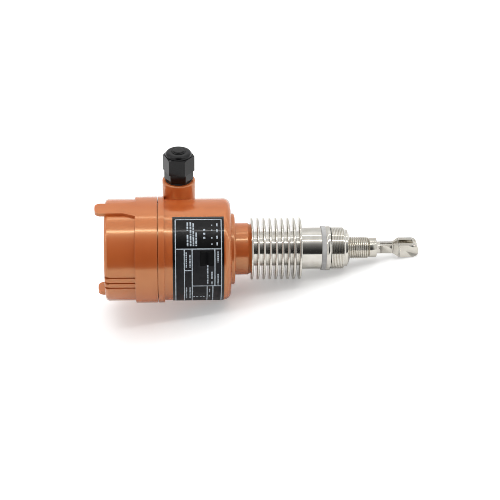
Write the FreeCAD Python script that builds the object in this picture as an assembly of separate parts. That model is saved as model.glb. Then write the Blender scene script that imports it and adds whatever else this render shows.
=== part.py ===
import FreeCAD, Part
import math
import os

from FreeCAD import Vector

os.makedirs("parts", exist_ok=True)

# The axis of the switch is X. x = 0 is the shoulder of the process thread, +X runs to the fork's
# tip and -X to the screw cover. The switch lies on its side with the conduit boss upwards.
ORIGIN = Vector(0, 0, 0)
X_AXIS = Vector(1, 0, 0)
Y_AXIS = Vector(0, 1, 0)
Z_AXIS = Vector(0, 0, 1)

# Clearances between pieces
SCREWED_GAP = 0.35
SLIP_GAP = 0.05
SEAL_GAP = 0.1
WINDOW_GAP = 0.3

# Sensor body with the process thread
PROCESS_THREAD_R = 10.35
PROCESS_THREAD_LENGTH = 18.0
UNDERCUT_R = 8.9
UNDERCUT_LENGTH = 1.3
FORK_COLLAR_R = 9.25
FORK_COLLAR_LENGTH = 6.9
SHANK_R = 9.4
SHANK_LENGTH = 14.0
SENSOR_BORE_R = 6.3
DIAPHRAGM_THICKNESS = 4.0

# Fork: two tines side by side along Y, close together in the stem and apart in the paddle
FORK_ROOT_R = 5.8
FORK_ROOT_LENGTH = 3.4
TINE_LENGTH = 39.6
STEM_LENGTH = 16.0
STEM_WIDTH = 9.0
STEM_GAP = 1.6
STEM_THICKNESS = 2.8
FLARE_LENGTH = 5.0
PADDLE_WIDTH = 12.6
PADDLE_GAP = 6.2
PADDLE_THICKNESS = 4.4
PADDLE_TIP_ROUND = 5.8
TINE_EDGE_ROUND = 0.6
FORK_ENVELOPE_R = 10.2

# Drive and pick-up stack behind the diaphragm
STACK_R = 5.4
STACK_BORE_R = 1.9
INSULATOR_THICKNESS = 1.0
PLATE_THICKNESS = 0.25
PIEZO_THICKNESS = 1.6
PIEZO_COUNT = 4
PAD_THICKNESS = 2.0
BOLT_R = 1.45
BOLT_HEAD_FLATS = 5.5
BOLT_HEAD_HEIGHT = 2.6
BOLT_THREAD_DEPTH = 2.6
LEAD_R = 1.8
LEAD_END_GAP = 0.3

# Process adapter, from the shoulder back to its collar
NOSE_FACE_R = 13.6
NOSE_BEVEL_LENGTH = 2.2
NOSE_R = 17.5
NOSE_LENGTH = 6.1
WIDE_THREAD_R = 19.9
WIDE_THREAD_BEVEL = 2.2
WIDE_THREAD_LENGTH = 11.6
THREAD_RELIEF_R = 19.1
THREAD_RELIEF_LENGTH = 0.6
ADAPTER_COLLAR_R = 21.0
ADAPTER_COLLAR_LENGTH = 4.4
ADAPTER_SPIGOT_R = 14.0
ADAPTER_SPIGOT_LENGTH = 15.5
ADAPTER_BORE_R = 11.5
GASKET_THICKNESS = 4.0

# Heat sink
SINK_CYLINDER_R = 19.7
SINK_CYLINDER_LENGTH = 19.3
FIN_COUNT = 9
FIN_R = 29.5
FIN_THICKNESS = 2.35
FIN_PITCH = 5.68
SINK_CORE_R = 16.4
SINK_BORE_R = 12.5
SINK_SPIGOT_R = 18.9
SINK_SPIGOT_LENGTH = 14.0
NECK_RING_SECTION_R = 1.0
NECK_RING_SETBACK = 3.2

# Housing body: the cavity is the size that the walls, the cover and the insert follow
CAVITY_R = 41.0
BODY_WALL = 7.0
SPIGOT_WALL = 3.4
NECK_R = 24.6
NECK_LENGTH = 15.0
NECK_BEVEL_LENGTH = 2.8
NECK_BEVEL_DEPTH = 1.6
DISC_R = 33.7
DISC_LENGTH = 3.9
DISC_ROUND = 1.6
BODY_R = CAVITY_R + BODY_WALL
BODY_LENGTH = 62.1
BODY_END_ROUND = 6.6
END_WALL = 8.0
LEAD_PASSAGE_R = 8.0
COVER_THREAD_R = CAVITY_R + SPIGOT_WALL
COVER_THREAD_LENGTH = 16.5
COVER_RING_WALL = 5.85
RIM_R = COVER_THREAD_R + COVER_RING_WALL
RIM_LENGTH = 5.9

# Conduit boss, level with the body's side so that the wires enter along the cavity wall
BOSS_RIM_MARGIN = 13.9
BOSS_R = 15.5
BOSS_OFFSET = BODY_R - BOSS_R
BOSS_RISE = 9.7
BOSS_TOP = BODY_R + BOSS_RISE
BOSS_FOOT = 5.0
BOSS_EDGE = 1.2
BOSS_BORE_R = 9.5
BOSS_BORE_FOOT = 15.0

# Screw cover
SEAM_GAP = 0.5
COVER_RING_LENGTH = 20.7
COVER_FRONT_R = BODY_R
COVER_FRONT_LENGTH = 28.4
COVER_CORNER_ROUND = 3.4
COVER_RING_EDGE = 0.5
COVER_FACE_THICKNESS = 6.0
COVER_FRONT_WALL = 5.5
COVER_CAVITY_R = COVER_FRONT_R - COVER_FRONT_WALL
COVER_THREAD_RELIEF = 2.3
SEAL_RECESS_DEPTH = 3.5
COVER_RING_SECTION_R = 1.15
LUG_ANGLE = 82.0
LUG_PROUD = 0.35
LUG_R = RIM_R + LUG_PROUD
LUG_SINK = 1.6
LUG_INNER_R = COVER_FRONT_R - LUG_SINK
LUG_HALF_WIDTH = 7.4
LUG_OVERHANG = 8.8
LUG_TIP_ROUND = 5.6
LUG_FLARE_LENGTH = 10.5
LUG_FLARE_WIDTH = 3.4
LUG_FLARE_ROUND = 8.0
GRIP_ANGLE = -8.4
GRIP_STEP = 7.4
GRIP_COUNT = 3
GRIP_WIDTH = 1.5
GRIP_DEPTH = 1.0
GRIP_NOTCH_R = 1.5
GRIP_NOTCH_LENGTH = 4.2

# Nameplate, wrapped round the side of the body
PLATE_END_MARGIN = 7.1
PLATE_RIM_MARGIN = 7.6
PLATE_LENGTH = BODY_LENGTH - PLATE_END_MARGIN - PLATE_RIM_MARGIN
PLATE_HALF_ANGLE = 70.0
PLATE_SKIN = 0.5
PLATE_LIFT = 0.02

# Cable gland, upwards from the boss
WASHER_THICKNESS = 1.2
WASHER_R = 12.6
GLAND_SHANK_R = 9.4
GLAND_SHANK_LENGTH = 10.0
GLAND_HEX_FLATS = 24.0
GLAND_HEX_CORNER_R = 13.6
GLAND_HEX_HEIGHT = 8.6
GLAND_HEX_TURN = -3.0
GLAND_THREAD_R = 10.2
GLAND_THREAD_LENGTH = 10.5
GLAND_BORE_R = 6.6
SEAL_SEAT_R = 8.2
SEAL_SEAT_DEPTH = 5.5
SEAL_NECK_RISE = 0.5
NUT_LIFT = 0.5
NUT_FLATS = 26.0
NUT_HEX_HEIGHT = 16.0
NUT_TURN = -7.2
NUT_BEVEL = 1.1
NUT_FACE_R = 13.1
NUT_DOME_HEIGHT = 3.5
NUT_DOME_R = 12.3
NUT_DOME_ROUND = 2.9
NUT_LIP = 3.4
NUT_HOLE_R = 6.6
PLUG_R = 4.9
PLUG_DEPTH = 19.3
PLUG_RISE = 1.4
PLUG_EDGE = 0.8

# Electronic insert
CUP_SPACE = 8.0
CUP_R = CAVITY_R - CUP_SPACE
CUP_WALL = 2.4
CUP_FLOOR = 3.0
CUP_LENGTH = 30.0
PILLAR_R = 3.6
PILLAR_INSET = 6.5
PILLAR_RADIUS = CUP_R - PILLAR_INSET
SCREW_ANGLES = (90, 210, 330)
BOARD_THICKNESS = 1.6
BOARD_SETBACK = 4.4
FACEPLATE_THICKNESS = 2.4
MODULE_SCREW_R = 1.7
MODULE_SCREW_HEAD_R = 3.2
MODULE_SCREW_HEAD = 2.2
MODULE_SCREW_GRIP = 6.0
SLOT_WIDTH = 0.8
SLOT_DEPTH = 0.7

# Terminals
POLE_PITCH = 8.0
POLE_SIDE_SPACE = 1.0
POLE_ROOM = 2 * (PILLAR_RADIUS * math.cos(math.radians(30)) - PILLAR_R - POLE_SIDE_SPACE)
POLE_COUNT = int(POLE_ROOM / POLE_PITCH)
TERMINAL_DEPTH = 12.0
TERMINAL_HEIGHT = 16.0
TERMINAL_INSET = 17.0
TERMINAL_Z = TERMINAL_INSET - CUP_R
TERMINAL_WELL_R = 2.6
TERMINAL_WELL_DEPTH = 5.0
WIRE_PORT = 4.4
WIRE_PORT_DEPTH = 7.0
TERMINAL_SCREW_R = 2.2
TERMINAL_SCREW_HEIGHT = 2.4
CLAMP_THICKNESS = 1.0

# Mode switch, trimmer and lamps
SWITCH_Y = -13.0
SWITCH_Z = 8.0
SWITCH_LENGTH = 10.0
SWITCH_WIDTH = 5.0
SWITCH_HEIGHT = 9.5
SLIDER_LENGTH = 3.0
SLIDER_WIDTH = 2.2
SLIDER_DEPTH = 2.0
SLIDER_RISE = 1.6
SLIDER_TRAVEL = 3.0
TRIMMER_Y = 3.0
TRIMMER_Z = 9.0
TRIMMER_SIZE = 7.2
TRIMMER_HEIGHT = 9.3
ROTOR_R = 2.4
ROTOR_DEPTH = 1.2
ROTOR_RISE = 0.5
LAMP_R = 1.5
LAMP_HEIGHT = 8.6
LAMP_PLACES = ((15.0, 11.0), (15.0, 4.0))

# Inner earth terminal
EARTH_POST_R = 4.0
EARTH_POST_INSET = 3.4
EARTH_POST_LENGTH = 27.0
EARTH_SCREW_R = 1.9
EARTH_SCREW_HEAD_R = 3.4
EARTH_SCREW_HEAD = 2.4
EARTH_SCREW_LENGTH = 9.0
EARTH_WASHER_R = 3.9
EARTH_WASHER_THICKNESS = 1.0

# Stations along X, worked out from the lengths above
DIAPHRAGM_FACE = PROCESS_THREAD_LENGTH + UNDERCUT_LENGTH + FORK_COLLAR_LENGTH
STACK_START = DIAPHRAGM_FACE - DIAPHRAGM_THICKNESS
THREAD_BACK = -NOSE_LENGTH - WIDE_THREAD_LENGTH
COLLAR_FRONT = THREAD_BACK - THREAD_RELIEF_LENGTH
COLLAR_BACK = COLLAR_FRONT - ADAPTER_COLLAR_LENGTH
SINK_FRONT = COLLAR_BACK - GASKET_THICKNESS
FINS_FRONT = SINK_FRONT - SINK_CYLINDER_LENGTH
FINS_BACK = FINS_FRONT - FIN_THICKNESS - FIN_PITCH * (FIN_COUNT - 1)
SINK_BACK = FINS_BACK - SINK_SPIGOT_LENGTH
NECK_BACK = FINS_BACK - NECK_LENGTH
BODY_FRONT = NECK_BACK - DISC_LENGTH
CAVITY_FLOOR = BODY_FRONT - END_WALL
RIM_FRONT = BODY_FRONT - BODY_LENGTH
RIM_BACK = RIM_FRONT - RIM_LENGTH
BODY_BACK = RIM_BACK - COVER_THREAD_LENGTH
COVER_MOUTH = RIM_BACK - SEAM_GAP
COVER_RING_BACK = COVER_MOUTH - COVER_RING_LENGTH
COVER_FACE = COVER_RING_BACK - COVER_FRONT_LENGTH
LUG_TIP = COVER_FACE - LUG_OVERHANG
BOSS_X = RIM_FRONT + BOSS_RIM_MARGIN
CUP_MOUTH = CAVITY_FLOOR - CUP_LENGTH
FACEPLATE_TOP = CUP_MOUTH - FACEPLATE_THICKNESS
BOARD_TOP = CUP_MOUTH + BOARD_SETBACK
BOARD_BOTTOM = BOARD_TOP + BOARD_THICKNESS
TERMINAL_TOP = BOARD_TOP - TERMINAL_HEIGHT
SWITCH_TOP = BOARD_TOP - SWITCH_HEIGHT
TRIMMER_TOP = BOARD_TOP - TRIMMER_HEIGHT
EARTH_TOP = CAVITY_FLOOR - EARTH_POST_LENGTH
EARTH_Z = EARTH_POST_INSET - CAVITY_R
STACK_END = STACK_START - 2 * INSULATOR_THICKNESS - PAD_THICKNESS
STACK_END -= PIEZO_COUNT * PIEZO_THICKNESS + (PIEZO_COUNT + 1) * PLATE_THICKNESS
BOLT_BACK = STACK_END - BOLT_HEAD_HEIGHT

# Heights along Z, up the cable gland
HEX_FOOT = BOSS_TOP + WASHER_THICKNESS
HEX_TOP = HEX_FOOT + GLAND_HEX_HEIGHT
GLAND_TOP = HEX_TOP + GLAND_THREAD_LENGTH
SEAL_FOOT = GLAND_TOP - SEAL_SEAT_DEPTH
NUT_FOOT = HEX_TOP + NUT_LIFT
NUT_HEX_TOP = NUT_FOOT + NUT_HEX_HEIGHT
NUT_TOP = NUT_HEX_TOP + NUT_DOME_HEIGHT


def rounded_wire(corners):
    """Closed wire through (x, y, radius) corners, each turned by a tangent arc of its radius."""
    spans = []
    for index, (x, y, radius) in enumerate(corners):
        here = Vector(x, y, 0)
        before = corners[index - 1]
        after = corners[(index + 1) % len(corners)]
        to_before = (Vector(before[0], before[1], 0) - here).normalize()
        to_after = (Vector(after[0], after[1], 0) - here).normalize()
        if radius == 0:
            spans.append((here, None, here))
            continue
        half = to_before.getAngle(to_after) / 2
        reach = radius / math.tan(half)
        bisector = (to_before + to_after).normalize()
        middle = here + bisector * (radius / math.sin(half) - radius)
        spans.append((here + to_before * reach, middle, here + to_after * reach))
    edges = []
    for index, (start, middle, end) in enumerate(spans):
        if middle is not None:
            edges.append(Part.Arc(start, middle, end).toShape())
        next_start = spans[(index + 1) % len(spans)][0]
        edges.append(Part.makeLine(end, next_start))
    return Part.Wire(edges)


def with_radius(points):
    """Corners with no radius of their own are sharp."""
    return [tuple(point) if len(point) == 3 else (point[0], point[1], 0) for point in points]


def turned(points):
    """Solid turned about the X axis from (x, radius) or (x, radius, corner round) points."""
    return Part.Face(rounded_wire(with_radius(points))).revolve(ORIGIN, X_AXIS, 360)


def rod(radius, x_start, x_end, y=0.0, z=0.0):
    """Round bar along X between two stations."""
    low = min(x_start, x_end)
    return Part.makeCylinder(radius, abs(x_end - x_start), Vector(low, y, z), X_AXIS)


def tube(outer, inner, x_start, x_end):
    """Plain ring or pipe on the axis."""
    return rod(outer, x_start, x_end).cut(rod(inner, x_start, x_end))


def upright(radius, z_start, z_end):
    """Round bar along Z on the axis of the conduit boss."""
    return Part.makeCylinder(radius, z_end - z_start, Vector(BOSS_X, BOSS_OFFSET, z_start), Z_AXIS)


def block(x_start, x_end, y, z, y_size, z_size):
    """Box between two stations, centred on (y, z)."""
    low = min(x_start, x_end)
    corner = Vector(low, y - y_size / 2, z - z_size / 2)
    return Part.makeBox(abs(x_end - x_start), y_size, z_size, corner)


def hexagon_along_x(flats, x_start, x_end):
    """Hexagonal bar on the axis."""
    points = []
    for corner in range(7):
        angle = math.radians(60 * corner)
        reach = flats / 2 / math.cos(math.radians(30))
        points.append(Vector(x_start, reach * math.cos(angle), reach * math.sin(angle)))
    return Part.Face(Part.makePolygon(points)).extrude(Vector(x_end - x_start, 0, 0))


def hexagon_upright(flats, z_start, z_end, turn):
    """Hexagonal bar on the boss axis, with a flat turned by some degrees from -Y."""
    points = []
    for corner in range(7):
        angle = math.radians(60 * corner - 60 + turn)
        reach = flats / 2 / math.cos(math.radians(30))
        x = BOSS_X + reach * math.cos(angle)
        y = BOSS_OFFSET + reach * math.sin(angle)
        points.append(Vector(x, y, z_start))
    return Part.Face(Part.makePolygon(points)).extrude(Vector(0, 0, z_end - z_start))


def around_axis(shape, world_angle):
    """Turn a shape made on +Z about X, to an angle counted from -Y up towards +Z."""
    turned_shape = shape.copy()
    turned_shape.rotate(ORIGIN, X_AXIS, 90 - world_angle)
    return turned_shape


def fused(shapes):
    """One solid from overlapping shapes."""
    return shapes[0].multiFuse(shapes[1:]).removeSplitter()


def export(name, shape):
    """One STEP file for each named piece."""
    shape.exportStep(f"parts/{name}.step")


def housing_body():
    """Casting: rim, cover spigot, body, step disc, neck and conduit boss."""
    outside = turned([
        (BODY_BACK, 0),
        (BODY_BACK, COVER_THREAD_R, 0.5),
        (RIM_BACK, COVER_THREAD_R),
        (RIM_BACK, RIM_R, 0.4),
        (RIM_FRONT, RIM_R, 0.4),
        (RIM_FRONT, BODY_R),
        (BODY_FRONT, BODY_R, BODY_END_ROUND),
        (BODY_FRONT, DISC_R),
        (NECK_BACK, DISC_R, DISC_ROUND),
        (NECK_BACK, NECK_R, 0.8),
        (FINS_BACK - NECK_BEVEL_LENGTH, NECK_R),
        (FINS_BACK, NECK_R - NECK_BEVEL_DEPTH),
        (FINS_BACK, 0),
    ])
    boss = upright(BOSS_R, BOSS_FOOT, BOSS_TOP)
    rim_edges = [edge for edge in boss.Edges if abs(edge.BoundBox.ZMin - BOSS_TOP) < 0.01]
    boss = boss.makeFillet(BOSS_EDGE, rim_edges)
    inside = [
        rod(CAVITY_R, BODY_BACK, CAVITY_FLOOR),
        rod(SINK_SPIGOT_R + SLIP_GAP, SINK_BACK - WINDOW_GAP, FINS_BACK),
        rod(LEAD_PASSAGE_R, CAVITY_FLOOR, FINS_BACK),
        upright(BOSS_BORE_R, BOSS_BORE_FOOT, BOSS_TOP),
    ]
    for angle in SCREW_ANGLES:
        y = PILLAR_RADIUS * math.cos(math.radians(angle))
        z = PILLAR_RADIUS * math.sin(math.radians(angle))
        inside.append(rod(MODULE_SCREW_R + SLIP_GAP, CAVITY_FLOOR, CAVITY_FLOOR + MODULE_SCREW_GRIP, y, z))
    hollow = fused([outside, boss]).cut(inside)
    post = rod(EARTH_POST_R, EARTH_TOP, CAVITY_FLOOR, 0, EARTH_Z)
    tapped = rod(EARTH_SCREW_R + SLIP_GAP, EARTH_TOP, EARTH_TOP + EARTH_SCREW_LENGTH, 0, EARTH_Z)
    return fused([hollow, post]).cut(tapped)


def cover_lug():
    """Wrench lug on +Z: a bar along the cover that flares into its ring."""
    flare_start = COVER_RING_BACK - LUG_FLARE_LENGTH
    flare_end = COVER_RING_BACK + COVER_RING_EDGE
    wide = LUG_HALF_WIDTH + LUG_FLARE_WIDTH
    outline = rounded_wire([
        (LUG_TIP, -LUG_HALF_WIDTH, LUG_TIP_ROUND),
        (flare_start, -LUG_HALF_WIDTH, LUG_FLARE_ROUND),
        (flare_end, -wide, 0),
        (flare_end, wide, 0),
        (flare_start, LUG_HALF_WIDTH, LUG_FLARE_ROUND),
        (LUG_TIP, LUG_HALF_WIDTH, LUG_TIP_ROUND),
    ])
    bar = Part.Face(outline).extrude(Vector(0, 0, LUG_R - LUG_INNER_R + 1))
    bar.translate(Vector(0, 0, LUG_INNER_R))
    return bar.common(rod(LUG_R, LUG_TIP, COVER_MOUTH))


def grip_groove():
    """Shallow groove on +Z, along the front part of the cover, with a rounder notch at the face."""
    groove = block(COVER_FACE - 1, COVER_RING_BACK, 0, COVER_FRONT_R - GRIP_DEPTH + 2, GRIP_WIDTH, 4)
    notch_z = COVER_FRONT_R - GRIP_DEPTH
    notch = rod(GRIP_NOTCH_R, COVER_FACE - 1, COVER_FACE + GRIP_NOTCH_LENGTH, 0, notch_z)
    return groove.fuse(notch)


def housing_cover():
    """Screw cover: ring with the thread, narrower front part, two lugs and grip grooves."""
    bore = COVER_THREAD_R + SCREWED_GAP
    thread_end = BODY_BACK - COVER_THREAD_RELIEF
    recess = bore + 2 * COVER_RING_SECTION_R - SCREWED_GAP + 2 * SEAL_GAP
    outside = turned([
        (COVER_FACE, 0),
        (COVER_FACE, COVER_FRONT_R, COVER_CORNER_ROUND),
        (COVER_RING_BACK, COVER_FRONT_R),
        (COVER_RING_BACK, RIM_R, COVER_RING_EDGE),
        (COVER_MOUTH, RIM_R, 0.4),
        (COVER_MOUTH, 0),
    ])
    inside = turned([
        (COVER_FACE + COVER_FACE_THICKNESS, 0),
        (COVER_FACE + COVER_FACE_THICKNESS, COVER_CAVITY_R, 2),
        (thread_end, COVER_CAVITY_R),
        (thread_end, bore),
        (COVER_MOUTH - SEAL_RECESS_DEPTH, bore),
        (COVER_MOUTH - SEAL_RECESS_DEPTH, recess),
        (COVER_MOUTH, recess),
        (COVER_MOUTH, 0),
    ])
    grooves = []
    lugs = []
    for side in (0, 180):
        lugs.append(around_axis(cover_lug(), LUG_ANGLE + side))
        for index in range(GRIP_COUNT):
            angle = GRIP_ANGLE + GRIP_STEP * (index - (GRIP_COUNT - 1) / 2)
            grooves.append(around_axis(grip_groove(), angle + side))
    return fused([outside.cut(grooves)] + lugs).cut(inside)


def cover_o_ring():
    """Seal carried in the mouth of the cover, round the spigot."""
    centre_r = COVER_THREAD_R + SEAL_GAP + COVER_RING_SECTION_R
    x = COVER_MOUTH - SEAL_RECESS_DEPTH + COVER_RING_SECTION_R + SEAL_GAP
    return Part.makeTorus(centre_r, COVER_RING_SECTION_R, Vector(x, 0, 0), X_AXIS)


def nameplate():
    """Thin plate bent round the side of the body."""
    low = BODY_FRONT - PLATE_END_MARGIN - PLATE_LENGTH
    inner = BODY_R + PLATE_LIFT
    section = Part.makePolygon([
        Vector(low, -inner, 0),
        Vector(low + PLATE_LENGTH, -inner, 0),
        Vector(low + PLATE_LENGTH, -inner - PLATE_SKIN, 0),
        Vector(low, -inner - PLATE_SKIN, 0),
        Vector(low, -inner, 0),
    ])
    face = Part.Face(section)
    face.rotate(ORIGIN, X_AXIS, -PLATE_HALF_ANGLE)
    return face.revolve(ORIGIN, X_AXIS, 2 * PLATE_HALF_ANGLE)


def heat_sink():
    """Turned in one piece: spigot, core with fins, and the plain cylinder with its socket."""
    groove_floor = SINK_SPIGOT_R - 2 * NECK_RING_SECTION_R - SLIP_GAP
    pieces = [
        rod(SINK_SPIGOT_R, SINK_BACK, FINS_BACK),
        rod(SINK_CORE_R, FINS_BACK, FINS_FRONT),
        turned([
            (FINS_FRONT - FIN_THICKNESS, 0),
            (FINS_FRONT - FIN_THICKNESS, SINK_CYLINDER_R),
            (SINK_FRONT, SINK_CYLINDER_R, 0.3),
            (SINK_FRONT, 0),
        ]),
    ]
    for index in range(FIN_COUNT):
        start = FINS_BACK + FIN_PITCH * index
        pieces.append(rod(FIN_R, start, start + FIN_THICKNESS))
    socket_floor = COLLAR_BACK - ADAPTER_SPIGOT_LENGTH - WINDOW_GAP
    groove_x = FINS_BACK - NECK_RING_SETBACK
    groove_half = NECK_RING_SECTION_R + SEAL_GAP
    cuts = [
        rod(SINK_BORE_R, SINK_BACK, SINK_FRONT),
        rod(ADAPTER_SPIGOT_R + SLIP_GAP, socket_floor, SINK_FRONT),
        tube(SINK_SPIGOT_R + 1, groove_floor, groove_x - groove_half, groove_x + groove_half),
    ]
    return fused(pieces).cut(cuts)


def neck_o_ring():
    """Seal in the groove of the heat sink's spigot."""
    centre_r = SINK_SPIGOT_R - NECK_RING_SECTION_R
    x = FINS_BACK - NECK_RING_SETBACK
    return Part.makeTorus(centre_r, NECK_RING_SECTION_R, Vector(x, 0, 0), X_AXIS)


def joint_gasket():
    """Flat ring between the heat sink and the adapter's collar."""
    return tube(ADAPTER_COLLAR_R, ADAPTER_SPIGOT_R + WINDOW_GAP, SINK_FRONT, COLLAR_BACK)


def process_adapter():
    """Turned adapter: spigot, collar, wide thread and stepped nose."""
    outside = turned([
        (COLLAR_BACK - ADAPTER_SPIGOT_LENGTH, 0),
        (COLLAR_BACK - ADAPTER_SPIGOT_LENGTH, ADAPTER_SPIGOT_R, 0.5),
        (COLLAR_BACK, ADAPTER_SPIGOT_R),
        (COLLAR_BACK, ADAPTER_COLLAR_R),
        (COLLAR_FRONT, ADAPTER_COLLAR_R, 0.4),
        (COLLAR_FRONT, THREAD_RELIEF_R),
        (THREAD_BACK, THREAD_RELIEF_R),
        (THREAD_BACK, WIDE_THREAD_R),
        (-NOSE_LENGTH, WIDE_THREAD_R),
        (WIDE_THREAD_BEVEL - NOSE_LENGTH, NOSE_R),
        (-NOSE_BEVEL_LENGTH, NOSE_R, 0.4),
        (0, NOSE_FACE_R),
        (0, 0),
    ])
    cuts = [
        rod(SHANK_R + SLIP_GAP, -SHANK_LENGTH, 0),
        rod(ADAPTER_BORE_R, COLLAR_BACK - ADAPTER_SPIGOT_LENGTH, -SHANK_LENGTH),
    ]
    return outside.cut(cuts)


def tine():
    """Tine on the +Y side: its plan along X and Y met with its side view along X and Z."""
    start = DIAPHRAGM_FACE
    stem_end = start + STEM_LENGTH
    paddle_start = stem_end + FLARE_LENGTH
    tip = start + TINE_LENGTH
    plan = rounded_wire([
        (start, STEM_GAP / 2, 0),
        (stem_end, STEM_GAP / 2, 3),
        (paddle_start, PADDLE_GAP / 2, 3),
        (tip, PADDLE_GAP / 2, 0),
        (tip, PADDLE_GAP / 2 + PADDLE_THICKNESS, 0),
        (paddle_start, PADDLE_GAP / 2 + PADDLE_THICKNESS, 4),
        (stem_end, STEM_GAP / 2 + STEM_THICKNESS, 4),
        (start, STEM_GAP / 2 + STEM_THICKNESS, 0),
    ])
    plan_solid = Part.Face(plan).extrude(Vector(0, 0, 2 * PADDLE_WIDTH))
    plan_solid.translate(Vector(0, 0, -PADDLE_WIDTH))
    side = rounded_wire([
        (start, -STEM_WIDTH / 2, 0),
        (stem_end, -STEM_WIDTH / 2, 4),
        (paddle_start, -PADDLE_WIDTH / 2, 6),
        (tip, -PADDLE_WIDTH / 2, PADDLE_TIP_ROUND),
        (tip, PADDLE_WIDTH / 2, PADDLE_TIP_ROUND),
        (paddle_start, PADDLE_WIDTH / 2, 6),
        (stem_end, STEM_WIDTH / 2, 4),
        (start, STEM_WIDTH / 2, 0),
    ])
    side_solid = Part.Face(side).extrude(Vector(0, 0, PADDLE_WIDTH))
    side_solid.rotate(ORIGIN, X_AXIS, -90)
    return plan_solid.common([side_solid]).common(rod(FORK_ENVELOPE_R, start, tip))


def sensor_fork():
    """Sensor body: shank, process thread, collar with its diaphragm, root and two tines."""
    body = turned([
        (-SHANK_LENGTH, SENSOR_BORE_R),
        (-SHANK_LENGTH, SHANK_R, 0.4),
        (0, SHANK_R),
        (0, PROCESS_THREAD_R),
        (PROCESS_THREAD_LENGTH, PROCESS_THREAD_R, 0.4),
        (PROCESS_THREAD_LENGTH, UNDERCUT_R),
        (PROCESS_THREAD_LENGTH + UNDERCUT_LENGTH, UNDERCUT_R),
        (PROCESS_THREAD_LENGTH + UNDERCUT_LENGTH, FORK_COLLAR_R, 0.3),
        (DIAPHRAGM_FACE, FORK_COLLAR_R, 0.5),
        (DIAPHRAGM_FACE, FORK_ROOT_R),
        (DIAPHRAGM_FACE + FORK_ROOT_LENGTH, FORK_ROOT_R, 0.6),
        (DIAPHRAGM_FACE + FORK_ROOT_LENGTH, 0),
        (STACK_START, 0),
        (STACK_START, SENSOR_BORE_R),
    ])
    far_tine = tine()
    near_tine = far_tine.mirror(ORIGIN, Y_AXIS)
    tapped = rod(BOLT_R + SLIP_GAP, STACK_START, STACK_START + BOLT_THREAD_DEPTH)
    return fused([body, far_tine, near_tine]).cut(tapped)


def stack():
    """Rings of the drive and pick-up stack, from the diaphragm back to the bolt's head."""
    insulators = []
    plates = []
    piezos = []
    x = STACK_START
    insulators.append(tube(STACK_R, STACK_BORE_R, x - INSULATOR_THICKNESS, x))
    x -= INSULATOR_THICKNESS
    plates.append(tube(STACK_R, STACK_BORE_R, x - PLATE_THICKNESS, x))
    x -= PLATE_THICKNESS
    for _ in range(PIEZO_COUNT):
        piezos.append(tube(STACK_R, STACK_BORE_R, x - PIEZO_THICKNESS, x))
        x -= PIEZO_THICKNESS
        plates.append(tube(STACK_R, STACK_BORE_R, x - PLATE_THICKNESS, x))
        x -= PLATE_THICKNESS
    insulators.append(tube(STACK_R, STACK_BORE_R, x - INSULATOR_THICKNESS, x))
    x -= INSULATOR_THICKNESS
    pad = tube(STACK_R, STACK_BORE_R, x - PAD_THICKNESS, x)
    export("insulating_discs", Part.Compound(insulators))
    export("electrode_plates", Part.Compound(plates))
    export("piezo_rings", Part.Compound(piezos))
    export("pressure_pad", pad)


def preload_bolt():
    """Bolt through the stack into the diaphragm."""
    head = hexagon_along_x(BOLT_HEAD_FLATS, BOLT_BACK, STACK_END)
    return fused([head, rod(BOLT_R, STACK_END, STACK_START + BOLT_THREAD_DEPTH)])


def sensor_lead():
    """Lead from the stack through the heat sink to the back of the circuit board."""
    return rod(LEAD_R, BOARD_BOTTOM + LEAD_END_GAP, BOLT_BACK - LEAD_END_GAP)


def screw_places():
    """Centres of the three module screws."""
    places = []
    for angle in SCREW_ANGLES:
        y = PILLAR_RADIUS * math.cos(math.radians(angle))
        z = PILLAR_RADIUS * math.sin(math.radians(angle))
        places.append((y, z))
    return places


def electronics_cup():
    """Moulded cup with three screw pillars, on the floor of the cavity."""
    shell = rod(CUP_R, CUP_MOUTH, CAVITY_FLOOR)
    shell = shell.cut(rod(CUP_R - CUP_WALL, CUP_MOUTH, CAVITY_FLOOR - CUP_FLOOR))
    pillars = [rod(PILLAR_R, BOARD_BOTTOM, CAVITY_FLOOR, y, z) for y, z in screw_places()]
    holes = [rod(MODULE_SCREW_R + WINDOW_GAP, BOARD_BOTTOM, CAVITY_FLOOR, y, z) for y, z in screw_places()]
    holes.append(rod(LEAD_R + WINDOW_GAP, CAVITY_FLOOR - CUP_FLOOR, CAVITY_FLOOR))
    return fused([shell] + pillars).cut(holes)


def circuit_board():
    """Round board on the pillars."""
    board = rod(CUP_R - CUP_WALL - WINDOW_GAP, BOARD_TOP, BOARD_BOTTOM)
    holes = [rod(MODULE_SCREW_R + WINDOW_GAP, BOARD_TOP, BOARD_BOTTOM, y, z) for y, z in screw_places()]
    return board.cut(holes)


def faceplate():
    """Moulded plate on the cup, with a window for each thing that stands on the board."""
    plate = turned([
        (FACEPLATE_TOP, 0),
        (FACEPLATE_TOP, CUP_R, 0.8),
        (CUP_MOUTH, CUP_R),
        (CUP_MOUTH, 0),
    ])
    wide = 2 * WINDOW_GAP
    cuts = [
        block(FACEPLATE_TOP, CUP_MOUTH, 0, TERMINAL_Z, POLE_COUNT * POLE_PITCH + wide, TERMINAL_DEPTH + wide),
        block(FACEPLATE_TOP, CUP_MOUTH, SWITCH_Y, SWITCH_Z, SWITCH_LENGTH + wide, SWITCH_WIDTH + wide),
        block(FACEPLATE_TOP, CUP_MOUTH, TRIMMER_Y, TRIMMER_Z, TRIMMER_SIZE + wide, TRIMMER_SIZE + wide),
    ]
    for y, z in LAMP_PLACES:
        cuts.append(rod(LAMP_R + WINDOW_GAP, FACEPLATE_TOP, CUP_MOUTH, y, z))
    for y, z in screw_places():
        cuts.append(rod(MODULE_SCREW_R + WINDOW_GAP, FACEPLATE_TOP, CUP_MOUTH, y, z))
    return plate.cut(cuts)


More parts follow.
